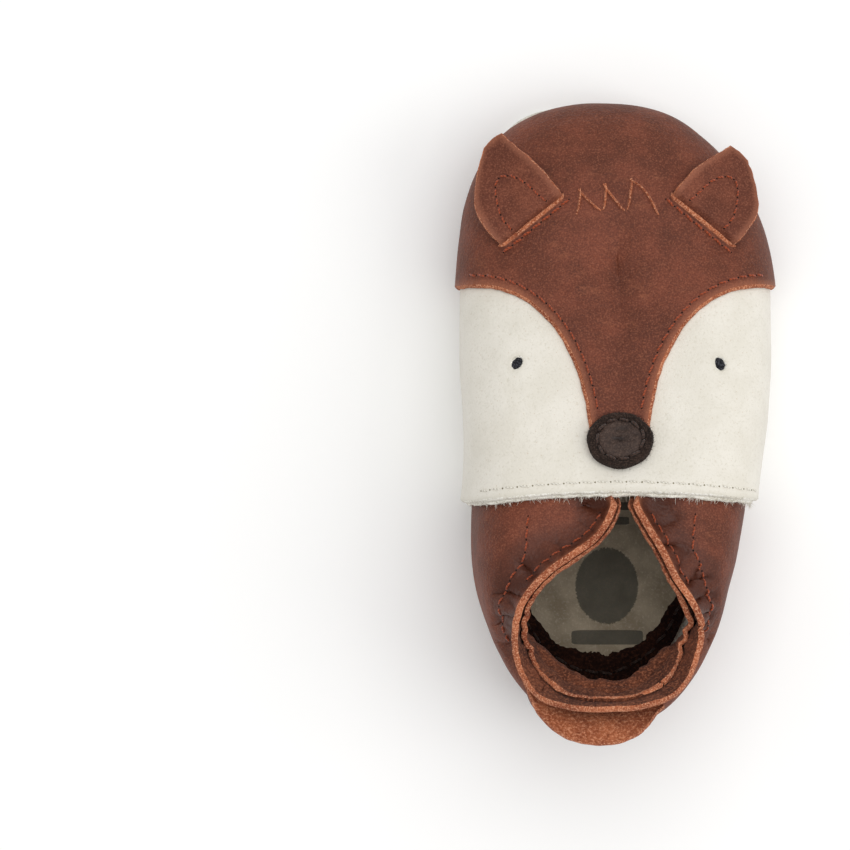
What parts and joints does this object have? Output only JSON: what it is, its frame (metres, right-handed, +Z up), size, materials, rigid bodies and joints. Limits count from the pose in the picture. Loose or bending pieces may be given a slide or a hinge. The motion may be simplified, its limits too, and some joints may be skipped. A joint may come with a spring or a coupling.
{
  "type": "baby bootie",
  "caption": "Soft-soled leather baby bootie with an elastic collar, a fox face, standing ear flaps and a heel tab.",
  "frame": {"origin": "middle of the bounding box, on the surface the sole rests on", "axes": "+Y to the toe, +Z up, +X to the outer side of the right foot"},
  "size_m": [0.0654, 0.1298, 0.0511],
  "materials": {
    "sole_suede": "napped cream suede",
    "insole_suede": "grey-beige suede",
    "inner_suede": "brown flesh side",
    "brown_leather": "matt waxed brown leather",
    "cream_leather": "matt cream nubuck",
    "lining_suede": "cream suede",
    "nose_leather": "dark brown suede",
    "orange_thread": "twisted polyester thread",
    "cream_thread": "twisted polyester thread",
    "nose_thread": "twisted polyester thread",
    "eye_thread": "woven charcoal thread",
    "elastic": "braided elastic"
  },
  "bodies": {
    "shoe": {"outsole": "sole_suede", "insole": "insole_suede", "seam_allowance": "inner_suede", "sole_stitching": "cream_thread", "quarter": "brown_leather", "collar_facing": "inner_suede", "collar_elastic": "elastic", "vamp_lining": "lining_suede", "cheek_leather": "cream_leather", "eye_left": "eye_thread", "eye_right": "eye_thread", "ear_anchor_left": "brown_leather", "ear_anchor_right": "brown_leather", "ear_base_stitching_left": "orange_thread", "ear_base_stitching_right": "orange_thread", "head_leather": "brown_leather", "nose_patch": "nose_leather", "nose_stitching": "nose_thread", "face_stitching_left": "orange_thread", "face_stitching_right": "orange_thread", "hem_stitching": "cream_thread", "casing_stitching": "orange_thread", "collar_stitching": "orange_thread"},
    "ear_flap_left": {"ear_left": "brown_leather", "ear_stitching_left": "orange_thread"},
    "ear_flap_right": {"ear_right": "brown_leather", "ear_stitching_right": "orange_thread"},
    "tab": {"heel_tab": "brown_leather"}
  },
  "joints": [
    {"name": "ear_left_hinge", "type": "hinge", "parent": "shoe", "child": "ear_flap_left", "pos_m": [-0.01813, 0.04105, 0.02967], "axis": [0.7711, 0.6364, 0.0182], "range_deg": [-8, 110], "stiffness_Nm_per_rad": 0.002},
    {"name": "ear_right_hinge", "type": "hinge", "parent": "shoe", "child": "ear_flap_right", "pos_m": [0.01801, 0.0412, 0.02922], "axis": [0.7711, -0.6364, -0.0219], "range_deg": [-8, 110], "stiffness_Nm_per_rad": 0.002},
    {"name": "heel_tab_hinge", "type": "hinge", "parent": "shoe", "child": "tab", "pos_m": [0, -0.0609, 0.0414], "axis": [1, 0, 0], "range_deg": [-4, 60], "stiffness_Nm_per_rad": 0.003}
  ]
}
